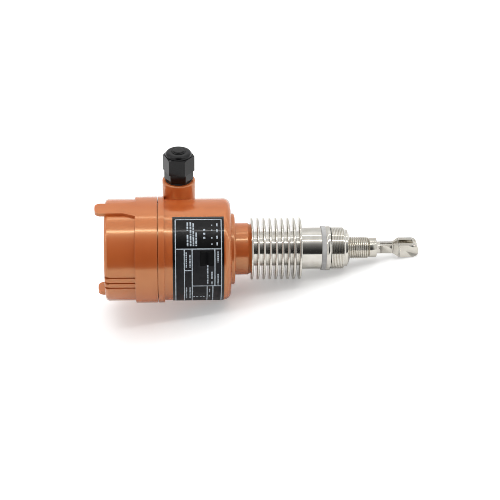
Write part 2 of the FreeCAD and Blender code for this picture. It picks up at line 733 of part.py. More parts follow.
def slotted_head(radius, x_top, height, y, z):
    """Cheese head with a driver slot, its top facing the cover."""
    head = rod(radius, x_top, x_top + height, y, z)
    return head.cut(block(x_top, x_top + SLOT_DEPTH, y, z, 2.2 * radius, SLOT_WIDTH))


def module_screws():
    """Three screws through the faceplate, board and cup into the end wall."""
    screws = []
    for y, z in screw_places():
        head = slotted_head(MODULE_SCREW_HEAD_R, FACEPLATE_TOP - MODULE_SCREW_HEAD, MODULE_SCREW_HEAD, y, z)
        shank = rod(MODULE_SCREW_R, FACEPLATE_TOP, CAVITY_FLOOR + MODULE_SCREW_GRIP - WINDOW_GAP, y, z)
        screws.append(fused([head, shank]))
    return Part.Compound(screws)


def pole_places():
    """Y centre of each terminal pole."""
    return [POLE_PITCH * (index - (POLE_COUNT - 1) / 2) for index in range(POLE_COUNT)]


def terminal_block():
    """Moulded block with a screw well and a wire port for each pole."""
    body = block(TERMINAL_TOP, BOARD_TOP, 0, TERMINAL_Z, POLE_COUNT * POLE_PITCH, TERMINAL_DEPTH)
    foot = TERMINAL_Z - TERMINAL_DEPTH / 2
    port_x = TERMINAL_TOP + TERMINAL_WELL_DEPTH
    cuts = []
    for y in pole_places():
        cuts.append(rod(TERMINAL_WELL_R, TERMINAL_TOP, port_x, y, TERMINAL_Z))
        cuts.append(Part.makeBox(WIRE_PORT, WIRE_PORT, WIRE_PORT_DEPTH, Vector(port_x, y - WIRE_PORT / 2, foot)))
    return body.cut(cuts)


def terminal_screws():
    """Clamp screw in each well."""
    screws = []
    x_seat = TERMINAL_TOP + TERMINAL_WELL_DEPTH
    for y in pole_places():
        x_top = x_seat - TERMINAL_SCREW_HEIGHT
        screws.append(slotted_head(TERMINAL_SCREW_R, x_top, TERMINAL_SCREW_HEIGHT, y, TERMINAL_Z))
    return Part.Compound(screws)


def wire_clamps():
    """Metal plate in each wire port, under its screw."""
    clamps = []
    x = TERMINAL_TOP + TERMINAL_WELL_DEPTH
    foot = TERMINAL_Z - TERMINAL_DEPTH / 2
    side = WIRE_PORT - 2 * WINDOW_GAP
    for y in pole_places():
        corner = Vector(x, y - side / 2, foot + WINDOW_GAP)
        clamps.append(Part.makeBox(CLAMP_THICKNESS, side, WIRE_PORT_DEPTH - WINDOW_GAP, corner))
    return Part.Compound(clamps)


def mode_switch():
    """Body of the slide switch, with the slot that its slider runs in."""
    body = block(SWITCH_TOP, BOARD_TOP, SWITCH_Y, SWITCH_Z, SWITCH_LENGTH, SWITCH_WIDTH)
    run = SLIDER_LENGTH + SLIDER_TRAVEL + 2 * WINDOW_GAP
    slot = block(SWITCH_TOP, SWITCH_TOP + SLIDER_DEPTH + SLIP_GAP, SWITCH_Y, SWITCH_Z, run,
                 SLIDER_WIDTH + 2 * SLIP_GAP)
    return body.cut(slot)


def mode_slider():
    """Slider at the -Y end of its slot."""
    y = SWITCH_Y - SLIDER_TRAVEL / 2
    return block(SWITCH_TOP - SLIDER_RISE, SWITCH_TOP + SLIDER_DEPTH, y, SWITCH_Z, SLIDER_LENGTH, SLIDER_WIDTH)


def delay_trimmer():
    """Square body of the trimmer, with the well of its rotor."""
    body = block(TRIMMER_TOP, BOARD_TOP, TRIMMER_Y, TRIMMER_Z, TRIMMER_SIZE, TRIMMER_SIZE)
    well = rod(ROTOR_R + SLIP_GAP, TRIMMER_TOP, TRIMMER_TOP + ROTOR_DEPTH + SLIP_GAP, TRIMMER_Y, TRIMMER_Z)
    return body.cut(well)


def trimmer_rotor():
    """Slotted rotor in the trimmer's well."""
    return slotted_head(ROTOR_R, TRIMMER_TOP - ROTOR_RISE, ROTOR_RISE + ROTOR_DEPTH, TRIMMER_Y, TRIMMER_Z)


def status_leds():
    """Two lamps with round ends."""
    lamps = []
    for y, z in LAMP_PLACES:
        top = BOARD_TOP - LAMP_HEIGHT + LAMP_R
        stem = rod(LAMP_R, top, BOARD_TOP, y, z)
        lamps.append(fused([stem, Part.makeSphere(LAMP_R, Vector(top, y, z))]))
    return Part.Compound(lamps)


def ground_washer():
    """Washer on the earth post."""
    washer = rod(EARTH_WASHER_R, EARTH_TOP - EARTH_WASHER_THICKNESS, EARTH_TOP, 0, EARTH_Z + 0.5)
    hole = rod(EARTH_SCREW_R + WINDOW_GAP, EARTH_TOP - EARTH_WASHER_THICKNESS, EARTH_TOP, 0, EARTH_Z)
    return washer.common(rod(CAVITY_R - WINDOW_GAP, EARTH_TOP - 2, EARTH_TOP)).cut(hole)


def ground_screw():
    """Earth screw in the tapped post."""
    seat = EARTH_TOP - EARTH_WASHER_THICKNESS
    head = slotted_head(EARTH_SCREW_HEAD_R, seat - EARTH_SCREW_HEAD, EARTH_SCREW_HEAD, 0, EARTH_Z)
    head = head.common(rod(CAVITY_R - WINDOW_GAP, seat - EARTH_SCREW_HEAD, seat))
    shank = rod(EARTH_SCREW_R, seat, EARTH_TOP + EARTH_SCREW_LENGTH - WINDOW_GAP, 0, EARTH_Z)
    return fused([head, shank])


def gland_washer():
    """Flat seal between the boss and the gland's hexagon."""
    ring = upright(WASHER_R, BOSS_TOP, HEX_FOOT)
    return ring.cut(upright(GLAND_SHANK_R + WINDOW_GAP, BOSS_TOP, HEX_FOOT))


def gland_body():
    """Gland body: shank in the boss, hexagon, and the thread and seat for nut and seal."""
    shank = upright(GLAND_SHANK_R, BOSS_TOP - GLAND_SHANK_LENGTH, HEX_FOOT)
    hexagon = hexagon_upright(GLAND_HEX_FLATS, HEX_FOOT, HEX_TOP, GLAND_HEX_TURN)
    hexagon = hexagon.common(upright(GLAND_HEX_CORNER_R, HEX_FOOT, HEX_TOP))
    thread = upright(GLAND_THREAD_R, HEX_TOP, GLAND_TOP)
    cuts = [
        upright(GLAND_BORE_R, BOSS_TOP - GLAND_SHANK_LENGTH, GLAND_TOP),
        upright(SEAL_SEAT_R, SEAL_FOOT, GLAND_TOP),
    ]
    return fused([shank, hexagon, thread]).cut(cuts)


def gland_seal():
    """Rubber insert round the plug, with a neck that fills the nut's hole."""
    shoulder = NUT_TOP - NUT_LIP - SEAL_GAP
    top = NUT_TOP + SEAL_NECK_RISE
    ring = upright(SEAL_SEAT_R - SEAL_GAP, SEAL_FOOT, shoulder)
    neck = upright(NUT_HOLE_R - WINDOW_GAP, SEAL_FOOT, top)
    return fused([ring, neck]).cut(upright(PLUG_R + SLIP_GAP, SEAL_FOOT, top))


def upright_cone(lower_r, upper_r, z_start, z_end):
    """Tapered bar along Z on the axis of the conduit boss."""
    return Part.makeCone(lower_r, upper_r, z_end - z_start, Vector(BOSS_X, BOSS_OFFSET, z_start), Z_AXIS)


def gland_nut():
    """Cap nut: a hexagon with bevelled corners, a rounded dome on it and a lip over the seal."""
    hexagon = hexagon_upright(NUT_FLATS, NUT_FOOT, NUT_HEX_TOP, NUT_TURN)
    corner_r = NUT_FLATS / 2 / math.cos(math.radians(30))
    shaft = upright(corner_r, NUT_FOOT, NUT_HEX_TOP - NUT_BEVEL)
    bevel = upright_cone(corner_r, NUT_FACE_R, NUT_HEX_TOP - NUT_BEVEL, NUT_HEX_TOP)
    dome = upright(NUT_DOME_R, NUT_FOOT, NUT_TOP)
    rim = [edge for edge in dome.Edges if edge.BoundBox.ZMin > NUT_TOP - 0.01]
    dome = dome.makeFillet(NUT_DOME_ROUND, rim)
    cuts = [
        upright(GLAND_THREAD_R + SCREWED_GAP, NUT_FOOT, NUT_TOP - NUT_LIP),
        upright(NUT_HOLE_R, NUT_FOOT, NUT_TOP),
    ]
    return fused([hexagon.common(fused([shaft, bevel])), dome]).cut(cuts)


def gland_plug():
    """Blanking plug through the seal."""
    top = NUT_TOP + PLUG_RISE
    plug = upright(PLUG_R, top - PLUG_DEPTH, top)
    top_edges = [edge for edge in plug.Edges if abs(edge.BoundBox.ZMin - top) < 0.01]
    return plug.makeFillet(PLUG_EDGE, top_edges)


PIECES = {
    "housing_body": housing_body,
    "housing_cover": housing_cover,
    "cover_o_ring": cover_o_ring,
    "nameplate": nameplate,
    "heat_sink": heat_sink,
    "neck_o_ring": neck_o_ring,
    "joint_gasket": joint_gasket,
    "process_adapter": process_adapter,
    "sensor_fork": sensor_fork,
    "preload_bolt": preload_bolt,
    "sensor_lead": sensor_lead,
    "electronics_cup": electronics_cup,
    "circuit_board": circuit_board,
    "faceplate": faceplate,
    "module_screws": module_screws,
    "terminal_block": terminal_block,
    "terminal_screws": terminal_screws,
    "wire_clamps": wire_clamps,
    "mode_switch": mode_switch,
    "mode_slider": mode_slider,
    "delay_trimmer": delay_trimmer,
    "trimmer_rotor": trimmer_rotor,
    "status_leds": status_leds,
    "ground_washer": ground_washer,
    "ground_screw": ground_screw,
    "gland_washer": gland_washer,
    "gland_body": gland_body,
    "gland_seal": gland_seal,
    "gland_nut": gland_nut,
    "gland_plug": gland_plug,
}

for name, make in PIECES.items():
    export(name, make())
stack()
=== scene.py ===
# %% [markdown]
# A vibrating fork level switch lies on a white table. Its solid parts come from a CAD model, and
# this script gives them their finishes and adds what a CAD model leaves plain: the thread forms,
# the print on the nameplate, the light and the camera. The frame is loaded first, because every
# other piece takes its place from it.

import math

import bpy
from mathutils import Matrix, Vector


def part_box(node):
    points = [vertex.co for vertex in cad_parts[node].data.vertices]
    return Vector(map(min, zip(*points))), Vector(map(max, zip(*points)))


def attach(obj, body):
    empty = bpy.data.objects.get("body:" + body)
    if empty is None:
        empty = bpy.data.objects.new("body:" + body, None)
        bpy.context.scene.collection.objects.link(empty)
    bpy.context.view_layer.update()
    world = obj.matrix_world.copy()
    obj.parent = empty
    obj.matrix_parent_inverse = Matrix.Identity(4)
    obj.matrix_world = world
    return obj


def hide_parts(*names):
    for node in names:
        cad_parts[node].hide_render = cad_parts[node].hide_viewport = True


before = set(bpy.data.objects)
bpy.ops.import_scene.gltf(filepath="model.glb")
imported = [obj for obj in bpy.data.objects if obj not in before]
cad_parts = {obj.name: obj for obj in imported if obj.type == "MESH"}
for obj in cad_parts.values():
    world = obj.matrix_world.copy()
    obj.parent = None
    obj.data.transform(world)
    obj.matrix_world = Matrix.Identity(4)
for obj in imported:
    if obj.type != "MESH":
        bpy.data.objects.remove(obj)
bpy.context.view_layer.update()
bpy.ops.object.select_all(action="DESELECT")

MM = 0.001

# %% [markdown]
# Colours are easiest to match as the hex values that a picture program shows, but a shader works
# in linear light. One small function turns one into the other, so each material below can state
# its colour in hex.

# %% Colour helper
def linear(hex_colour):
    """Linear RGBA from an sRGB hex value."""
    channels = [int(hex_colour[i:i + 2], 16) / 255 for i in (1, 3, 5)]
    values = [c / 12.92 if c <= 0.04045 else ((c + 0.055) / 1.055) ** 2.4 for c in channels]
    return (*values, 1.0)


# %% [markdown]
# A procedural material is a small graph of nodes. Making each node by hand takes four or five
# lines, so one helper adds a node of any kind, sets its values, joins its inputs and, on a colour
# ramp, places its stops. A second one closes the graph with the shader. Every finish is then a
# short list of what it is made of.

# %% Node helpers
def add_node(tree, kind, settings=None, inputs=None, stops=()):
    """Adds a node, gives it its settings, fills its inputs with values or other sockets, and sets
    the (position, colour) stops of a ramp."""
    node = tree.nodes.new(kind)
    for name, value in (settings or {}).items():
        setattr(node, name, value)
    for name, value in (inputs or {}).items():
        socket = node.inputs[name]
        if isinstance(value, bpy.types.NodeSocket):
            tree.links.new(value, socket)
        else:
            socket.default_value = value
    if stops:
        elements = node.color_ramp.elements
        while len(elements) < len(stops):
            elements.new(0.5)
        for element, (position, colour) in zip(elements, stops):
            element.position, element.color = position, colour
    return node


def new_finish(name):
    """An empty material, its tree, and Object coordinates in metres."""
    material = bpy.data.materials.new(name)
    material.use_nodes = True
    tree = material.node_tree
    tree.nodes.clear()
    return material, tree, add_node(tree, "ShaderNodeTexCoord").outputs["Object"]


def close_finish(tree, inputs):
    """Ends a material with its shader and output."""
    shader = add_node(tree, "ShaderNodeBsdfPrincipled", inputs=inputs)
    add_node(tree, "ShaderNodeOutputMaterial", inputs={"Surface": shader.outputs["BSDF"]})


# %% [markdown]
# The housing is die-cast aluminium under a glossy copper-orange powder coat. Powder flows as it
# bakes and leaves an orange peel: soft waves two or three millimetres apart, only microns deep.
# They make the edges of reflections waver, so they are worth a bump, while the colour hardly
# changes over the coat. The copper shimmer comes from mica in the powder, which reflects more than
# plain paint does and tints what it reflects, so this finish has a high index and a warm specular.

# %% Powder coat
PEEL_MM, PEEL_DEPTH_MM = 2.6, 0.004
PIGMENT_MM = 0.7
CLOUD_MM = 26.0


def powder_coat():
    material, tree, place = new_finish("powder_coat_copper_orange")
    peel = add_node(tree, "ShaderNodeTexNoise", inputs={
        "Vector": place, "Scale": 1 / (PEEL_MM * MM), "Detail": 1.5, "Roughness": 0.5})
    pigment = add_node(tree, "ShaderNodeTexNoise", inputs={
        "Vector": place, "Scale": 1 / (PIGMENT_MM * MM), "Detail": 2.0, "Roughness": 0.5})
    cloud = add_node(tree, "ShaderNodeTexNoise", inputs={
        "Vector": place, "Scale": 1 / (CLOUD_MM * MM), "Detail": 2.0, "Roughness": 0.5})
    tint = add_node(tree, "ShaderNodeValToRGB", inputs={"Fac": cloud.outputs["Fac"]},
                    stops=[(0.35, linear("#B65729")), (0.65, linear("#BC5D2D"))])
    gloss = add_node(tree, "ShaderNodeMapRange", inputs={
        "Value": pigment.outputs["Fac"], "To Min": 0.15, "To Max": 0.21})
    waves = add_node(tree, "ShaderNodeBump", inputs={
        "Height": peel.outputs["Fac"], "Distance": PEEL_DEPTH_MM * MM, "Strength": 0.2})
    close_finish(tree, {
        "Base Color": tint.outputs["Color"], "Roughness": gloss.outputs["Result"],
        "Normal": waves.outputs["Normal"], "IOR": 2.4, "Specular Tint": linear("#FFE2AE"),
        "Coat Weight": 0.2, "Coat Roughness": 0.05})
    return material


# %% [markdown]
# The steel parts are turned on a lathe. The tool leaves rings round the axis a few hundredths of
# a millimetre apart, too fine for this picture, so they are drawn about half a millimetre apart
# and kept faint. Every ring lies square to the axis, so the noise is stretched far along y and z
# and changes along x. The sensor's fork is milled and brushed, so its steel is a little rougher.

# %% Turned stainless steel
SCALE_ACROSS = 0.03
SMEAR_MM = 9.0
RING_SPREAD = 0.05


def turned_stainless(name, dark, light, ring_mm, depth_mm, roughness):
    material, tree, place = new_finish(name)
    stretched = add_node(tree, "ShaderNodeMapping", inputs={
        "Vector": place, "Scale": (1.0, SCALE_ACROSS, SCALE_ACROSS)})
    rings = add_node(tree, "ShaderNodeTexNoise", inputs={
        "Vector": stretched.outputs["Vector"], "Scale": 1 / (ring_mm * MM), "Detail": 2.0, "Roughness": 0.5})
    smear = add_node(tree, "ShaderNodeTexNoise", inputs={
        "Vector": place, "Scale": 1 / (SMEAR_MM * MM), "Detail": 4.0, "Roughness": 0.5})
    tint = add_node(tree, "ShaderNodeValToRGB", inputs={"Fac": smear.outputs["Fac"]},
                    stops=[(0.3, linear(dark)), (0.7, linear(light))])
    gloss = add_node(tree, "ShaderNodeMapRange", inputs={
        "Value": rings.outputs["Fac"], "To Min": roughness, "To Max": roughness + RING_SPREAD})
    marks = add_node(tree, "ShaderNodeBump", inputs={
        "Height": rings.outputs["Fac"], "Distance": depth_mm * MM, "Strength": 0.3})
    close_finish(tree, {
        "Base Color": tint.outputs["Color"], "Roughness": gloss.outputs["Result"],
        "Normal": marks.outputs["Normal"], "Metallic": 1.0})
    return material


# %% [markdown]
# Moulded, plated and printed parts share a pattern: one colour with faint mottling, a roughness
# that suits the stuff, and a grain as deep as its mould or grit leaves. A table of such finishes
# is easier to compare than a function for each. Anodised aluminium has a dense skin with a soft
# shine, and the ink on it is duller. Pressed fibre and rubber hardly shine, moulded nylon has a
# polished look, and plated steel and brass mirror a blurred room. The parts inside are seen only
# when the cover is off: mouldings have a satin skin, and ground ceramic is matt.

# %% Plain finishes
MOTTLE_TIMES_GRAIN = 12
SPECKLE_SPREAD = 0.08


def plain_finish(name, dark, light, roughness, grain_mm, depth_mm, metallic=0.0, coat=0.0, shine=0.5):
    material, tree, place = new_finish(name)
    speckle = add_node(tree, "ShaderNodeTexNoise", inputs={
        "Vector": place, "Scale": 1 / (grain_mm * MM), "Detail": 3.0, "Roughness": 0.5})
    mottle = add_node(tree, "ShaderNodeTexNoise", inputs={
        "Vector": place, "Scale": 1 / (MOTTLE_TIMES_GRAIN * grain_mm * MM), "Detail": 3.0, "Roughness": 0.5})
    tint = add_node(tree, "ShaderNodeValToRGB", inputs={"Fac": mottle.outputs["Fac"]},
                    stops=[(0.35, linear(dark)), (0.65, linear(light))])
    gloss = add_node(tree, "ShaderNodeMapRange", inputs={
        "Value": speckle.outputs["Fac"], "To Min": roughness, "To Max": roughness + SPECKLE_SPREAD})
    pits = add_node(tree, "ShaderNodeBump", inputs={
        "Height": speckle.outputs["Fac"], "Distance": depth_mm * MM, "Strength": 0.4})
    close_finish(tree, {
        "Base Color": tint.outputs["Color"], "Roughness": gloss.outputs["Result"],
        "Normal": pits.outputs["Normal"], "Metallic": metallic, "Coat Weight": coat,
        "Specular IOR Level": shine})
    return material


# A plain finish gives its dark and light colour, its roughness, and its grain's size and depth in mm.
FINISHES = {
    "powder_coat": powder_coat(),
    "stainless": turned_stainless("turned_stainless_bright", "#D2CEC5", "#DFDCD5", 0.5, 0.004, 0.07),
    "fork_steel": turned_stainless("milled_stainless_satin", "#C8C3B8", "#DBD7CE", 0.8, 0.008, 0.12),
    "plate": plain_finish("anodised_aluminium_black", "#050506", "#0A0A0B", 0.25, 0.5, 0.002,
                          coat=0.3, shine=0.2),
    "grey_print": plain_finish("screen_print_charcoal", "#1A1A1D", "#212124", 0.4, 0.4, 0.002, shine=0.15),
    "black_print": plain_finish("screen_print_black", "#050507", "#09090B", 0.4, 0.4, 0.002, shine=0.1),
    "pale_print": plain_finish("screen_print_pale_blue_grey", "#A9B3BC", "#BDC7D0", 0.5, 0.4, 0.002),
    "gasket": plain_finish("pressed_fibre_gasket_grey", "#A3A2A2", "#B4B3B2", 0.75, 0.6, 0.02),
    "nylon": plain_finish("moulded_nylon_black", "#060607", "#0A0A0C", 0.1, 0.5, 0.002, shine=0.35),
    "rubber": plain_finish("moulded_rubber_black", "#101011", "#171718", 0.62, 0.5, 0.01),
    "ceramic": plain_finish("ground_piezo_ceramic", "#B8AF96", "#C6BDA5", 0.55, 0.4, 0.004),
    "brass": plain_finish("rolled_brass", "#B8924A", "#C9A45C", 0.25, 0.4, 0.004, metallic=1.0),
    "zinc": plain_finish("bright_zinc_plate", "#B4B6B6", "#C4C6C4", 0.28, 0.4, 0.004, metallic=1.0),
    "sheath": plain_finish("extruded_silicone_grey", "#74767A", "#808286", 0.5, 0.5, 0.006),
    "moulding": plain_finish("moulded_pbt_charcoal", "#2A2B2E", "#323337", 0.48, 0.5, 0.012),
    "board": plain_finish("solder_mask_green", "#0F4A2A", "#145A33", 0.3, 0.6, 0.008),
    "terminal": plain_finish("moulded_polyamide_grey", "#6C7074", "#777B7F", 0.5, 0.5, 0.01),
    "component": plain_finish("moulded_epoxy_blue", "#1B3E7A", "#224A8C", 0.35, 0.4, 0.006),
    "white_part": plain_finish("moulded_acetal_white", "#D9D8D2", "#E4E3DE", 0.35, 0.4, 0.005),
    "lamp": plain_finish("tinted_acrylic_green", "#3FA04A", "#52B25C", 0.12, 0.5, 0.002),
}
print("finishes", len(FINISHES))

# %% [markdown]
# Each CAD node takes one finish. The node's mesh stays as it is, and only the material in its
# slots changes.

# %% Finishes on the CAD nodes
NODE_FINISH = {
    "powder_coat": ["housing_body", "housing_cover"],
    "stainless": ["heat_sink", "process_adapter"],
    "fork_steel": ["sensor_fork"],
    "plate": ["nameplate"],
    "gasket": ["joint_gasket"],
    "nylon": ["gland_body", "gland_nut", "gland_plug"],
    "rubber": ["cover_o_ring", "neck_o_ring", "gland_seal", "gland_washer"],
    "ceramic": ["piezo_rings", "insulating_discs"],
    "brass": ["electrode_plates", "wire_clamps"],
    "zinc": ["pressure_pad", "preload_bolt", "module_screws", "terminal_screws", "ground_screw",
             "ground_washer"],
    "sheath": ["sensor_lead"],
    "moulding": ["electronics_cup", "faceplate"],
    "board": ["circuit_board"],
    "terminal": ["terminal_block"],
    "component": ["mode_switch", "delay_trimmer"],
    "white_part": ["mode_slider", "trimmer_rotor"],
    "lamp": ["status_leds"],
}
for finish, names in NODE_FINISH.items():
    for name in names:
        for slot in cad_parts[name].material_slots:
            slot.material = FINISHES[finish]
print("finished nodes", sum(len(names) for names in NODE_FINISH.values()))

# %% [markdown]
# The turned and printed pieces below are made as by hand: a line is drawn, a modifier turns it into
# a body and is applied, and the piece's place goes into its mesh. Operators act on what is selected,
# so each helper first makes its own object the only selected and active one.

# %% Modelling helpers
MERGE = 1e-6


def activate(thing):
    """Makes one object the only selected and active one."""
    bpy.ops.object.select_all(action="DESELECT")
    thing.select_set(True)
    bpy.context.view_layer.objects.active = thing


def apply_modifier(thing, kind, **settings):
    """Adds a modifier, sets it and applies it."""
    activate(thing)
    modifier = thing.modifiers.new(kind.lower(), kind)
    for name, value in settings.items():
        setattr(modifier, name, value)
    bpy.ops.object.modifier_apply(modifier=modifier.name)


def settle(thing):
    """Puts the object at the origin, with its place in its mesh."""
    activate(thing)
    bpy.ops.object.transform_apply(location=True, rotation=True, scale=True)


def drawn_line(name, points):
    """Open line through points in millimetres: a plane merged to one corner, then extruded on."""
    bpy.ops.object.select_all(action="DESELECT")
    bpy.ops.mesh.primitive_plane_add(size=MM, location=[value * MM for value in points[0]])
    line = bpy.context.object
    line.name = name
    bpy.ops.object.mode_set(mode="EDIT")
    bpy.ops.mesh.select_all(action="SELECT")
    bpy.ops.mesh.merge(type="CENTER")
    for before, after in zip(points, points[1:]):
        step = (Vector(after) - Vector(before)) * MM
        bpy.ops.mesh.extrude_region_move(TRANSFORM_OT_translate={"value": step})
    bpy.ops.object.mode_set(mode="OBJECT")
    settle(line)
    return line


# %% [markdown]
# Threads are where a picture shows that a part is real. The CAD model has plain bars over the
# crests. One tooth of the thread is drawn in profile and wound into a helix by a Screw modifier,
# because a lathe makes it in the same way. A Boolean with a chamfered bar then trims the helix, as
# the lathe chamfers the first turn. The helix starts a little more than one turn early, by an odd
# share of the pitch, so that the cut at its start passes through no row of points.

# %% Thread bar
EARLY_TURNS, SPARE_TURNS = 1.37, 3
SKIN_MM = 0.001
OVERLAP_MM = 0.1


def thread_bar(name, start, end, crest_r, pitch, depth, tooth, steps, chamfer):
    """Threaded bar along X, in millimetres. The tooth is in shares of the pitch and the depth."""
    bar = drawn_line(name, [(start + (along - EARLY_TURNS) * pitch, 0, crest_r - (1 - height) * depth)
                            for along, height in tooth])
    turns = math.ceil((end - start) / pitch) + SPARE_TURNS
    apply_modifier(bar, "SCREW", axis="X", screw_offset=pitch * MM, iterations=turns, steps=steps,
                   render_steps=steps, use_merge_vertices=True, merge_threshold=MERGE)
    activate(bar)
    bpy.ops.object.mode_set(mode="EDIT")
    bpy.ops.mesh.select_all(action="SELECT")
    bpy.ops.mesh.remove_doubles(threshold=MERGE)
    for x, outside in ((start, -1), (end, 1)):
        bpy.ops.mesh.select_all(action="SELECT")
        bpy.ops.mesh.bisect(plane_co=(x * MM, 0, 0), plane_no=(outside, 0, 0), use_fill=True,
                            clear_outer=True)
    bpy.ops.mesh.select_all(action="SELECT")
    bpy.ops.mesh.normals_make_consistent(inside=False)
    bpy.ops.object.mode_set(mode="OBJECT")
    bpy.ops.object.select_all(action="DESELECT")
    bpy.ops.mesh.primitive_cylinder_add(vertices=96, radius=(crest_r + SKIN_MM) * MM,
                                        depth=(end - start + 2 * OVERLAP_MM) * MM,
                                        location=((start + end) / 2 * MM, 0, 0),
                                        rotation=(0, math.radians(90), 0))
    blank = bpy.context.object
    settle(blank)
    apply_modifier(blank, "BEVEL", width=chamfer * MM, segments=1, limit_method="ANGLE")
    apply_modifier(bar, "BOOLEAN", operation="INTERSECT", object=blank, solver="EXACT")
    bpy.data.objects.remove(blank)
    activate(bar)
    bpy.ops.object.shade_smooth_by_angle(angle=math.radians(25))
    print(name, "faces", len(bar.data.polygons))
    return bar


# %% [markdown]
# The plain bar over the crests has to make room for the teeth. The core is a copy of the CAD part.
# Its loose triangles are merged first, and then the points that lie on the bar are pulled towards
# the axis, below the roots. Core and teeth are joined into one piece with one finish.

# %% Core and joining
NEAR_MM = 0.01


def thinner_core(node, name, start, end, above, scale):
    """Copy of a CAD node, thinner by a scale from start to end where its radius is above a limit."""
    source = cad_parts[node]
    core = bpy.data.objects.new(name, source.data.copy())
    bpy.context.scene.collection.objects.link(core)
    activate(core)
    bpy.ops.object.mode_set(mode="EDIT")
    bpy.ops.mesh.select_all(action="SELECT")
    bpy.ops.mesh.remove_doubles(threshold=MERGE)
    bpy.ops.mesh.select_all(action="DESELECT")
    bpy.ops.object.mode_set(mode="OBJECT")
    for vertex in core.data.vertices:
        x, y, z = vertex.co / MM
        vertex.select = start - NEAR_MM < x < end + NEAR_MM and math.hypot(y, z) > above
    bpy.ops.object.mode_set(mode="EDIT")
    bpy.ops.transform.resize(value=(1, scale, scale), center_override=(0, 0, 0))
    bpy.ops.object.mode_set(mode="OBJECT")
    bpy.ops.object.shade_smooth_by_angle(angle=math.radians(35))
    return core


def joined(name, pieces, finish):
    """One object from several, with one finish."""
    for piece in pieces:
        piece.data.materials.clear()
        piece.data.materials.append(finish)
    activate(pieces[0])
    for piece in pieces[1:]:
        piece.select_set(True)
    if len(pieces) > 1:
        bpy.ops.object.join()
    pieces[0].name = name
    settle(pieces[0])
    return pieces[0]


# %% [markdown]
# The process thread is a half-inch pipe thread, 14 threads to the inch, and the wide thread on
# the adapter is a fine one of one and a half millimetres. The crests of the first are rounded by
# use, so they catch light from the sides, and those of the second are wide and flat, so the dark
# stripe of the room runs on across them. Both are cut into the part, so each threaded copy takes
# the place of its CAD node, which is hidden.

# %% Threaded sensor and adapter
PROCESS_R, PROCESS_START, PROCESS_END = 10.35, 0.0, 18.0
PROCESS_PITCH, PROCESS_DEPTH = 25.4 / 14, 0.9
PROCESS_TOOTH = [(0, 0), (0.23, 0.83), (0.38, 1), (0.58, 1), (0.73, 0.83), (0.96, 0), (1, 0)]
ADAPTER_R, ADAPTER_START, ADAPTER_END = 19.9, -17.7, -6.1
ADAPTER_PITCH, ADAPTER_DEPTH = 1.5, 0.45
ADAPTER_TOOTH = [(0, 0), (0.27, 1), (0.69, 1), (0.96, 0), (1, 0)]
END_GAP = 0.02
INTO_NOSE = 0.3

fork_core = thinner_core("sensor_fork", "fork_core", PROCESS_START, PROCESS_END, above=9.6, scale=0.87)
fork_thread = thread_bar("fork_thread", PROCESS_START + END_GAP, PROCESS_END - END_GAP, PROCESS_R,
                         PROCESS_PITCH, PROCESS_DEPTH, PROCESS_TOOTH, steps=72, chamfer=0.6)
fork = joined("sensor_fork_threaded", [fork_core, fork_thread], FINISHES["fork_steel"])
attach(fork, "housing")
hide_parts("sensor_fork")

adapter_core = thinner_core("process_adapter", "adapter_core", ADAPTER_START, ADAPTER_END,
                            above=19.3, scale=0.95)
adapter_thread = thread_bar("adapter_thread", ADAPTER_START + END_GAP, ADAPTER_END + INTO_NOSE, ADAPTER_R,
                            ADAPTER_PITCH, ADAPTER_DEPTH, ADAPTER_TOOTH, steps=96, chamfer=0.4)
adapter = joined("process_adapter_threaded", [adapter_core, adapter_thread], FINISHES["stainless"])
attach(adapter, "housing")
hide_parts("process_adapter")

# %% [markdown]
# The fins of the heat sink have round rims, which catch light from both ends of the room and
# stand out from the dark gaps. They are hard to round on the CAD mesh, so the heat sink is turned
# again from its profile, as (x, radius): back over the fins, along the spigot that sits in the neck
# with its seal groove, and forward again through the bore and the adapter's socket.

# %% Profile of the heat sink
FIN_COUNT, FIN_PITCH, FIN_THICKNESS = 9, 5.68, 2.35
CORE_R, SPIGOT_R, BORE_R = 16.4, 18.9, 12.5
SPIGOT_LENGTH = 14.0
SINK_CYLINDER_R, SINK_CHAMFER = 19.7, 0.3
SOCKET_R, SOCKET_DEPTH = 14.05, 11.8
SEAL_SETBACK, SEAL_HALF, SEAL_FLOOR = 3.2, 1.1, 16.85
RIM_STEPS, TURN_STEPS = 6, 128

sink_low, sink_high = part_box("heat_sink")
sink_front, sink_back, fin_r = sink_high[0] / MM, sink_low[0] / MM, sink_high[1] / MM
fins_back = sink_back + SPIGOT_LENGTH
rim_r = FIN_THICKNESS / 2

profile = [(sink_front, SOCKET_R), (sink_front, SINK_CYLINDER_R - SINK_CHAMFER),
           (sink_front - SINK_CHAMFER, SINK_CYLINDER_R)]
for index in reversed(range(FIN_COUNT)):
    middle = fins_back + FIN_PITCH * index + rim_r
    foot_front = SINK_CYLINDER_R if index == FIN_COUNT - 1 else CORE_R
    foot_back = SPIGOT_R if index == 0 else CORE_R
    profile.append((middle + rim_r, foot_front))
    for step in range(RIM_STEPS + 1):
        turn = math.pi * step / RIM_STEPS
        profile.append((middle + rim_r * math.cos(turn), fin_r - rim_r + rim_r * math.sin(turn)))
    profile.append((middle - rim_r, foot_back))
seal_x = fins_back - SEAL_SETBACK
profile += [(seal_x + SEAL_HALF, SPIGOT_R), (seal_x + SEAL_HALF, SEAL_FLOOR),
            (seal_x - SEAL_HALF, SEAL_FLOOR), (seal_x - SEAL_HALF, SPIGOT_R), (sink_back, SPIGOT_R),
            (sink_back, BORE_R), (sink_front - SOCKET_DEPTH, BORE_R),
            (sink_front - SOCKET_DEPTH, SOCKET_R), (sink_front, SOCKET_R)]
print("heat sink from", round(sink_front, 2), "to", round(sink_back, 2), "points", len(profile))

# %% [markdown]
# The profile is a closed line, so one full turn of a Screw modifier makes a closed solid. The
# shading is smooth round the part and over the rims, and stays sharp at the fins' feet.

